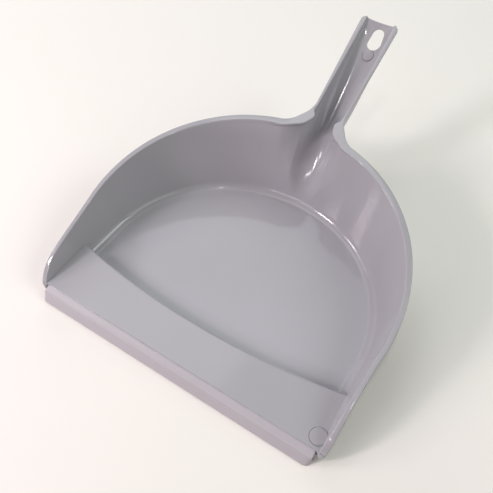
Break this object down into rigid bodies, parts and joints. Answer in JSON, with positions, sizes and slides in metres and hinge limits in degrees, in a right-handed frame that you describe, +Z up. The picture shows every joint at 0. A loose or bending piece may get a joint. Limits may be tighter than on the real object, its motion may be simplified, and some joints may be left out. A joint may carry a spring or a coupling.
{
  "type": "hand dust pan",
  "caption": "Hand dust pan with a D-shaped tray, a ramp behind a soft front lip, and an open-channel handle with snap tabs and a hanging hole.",
  "frame": {"origin": "centre of the footprint, on the surface that the pan lies on", "axes": "+X across the pan, +Y from the lip to the end of the handle, +Z up"},
  "size_m": [0.244, 0.2934, 0.1061],
  "materials": {
    "moulded_plastic": "injection-moulded polypropylene, semi-gloss",
    "soft_lip": "soft thermoplastic elastomer, satin"
  },
  "bodies": {
    "root": {"pan_body": "moulded_plastic", "lip_strip": "soft_lip"}
  },
  "joints": []
}
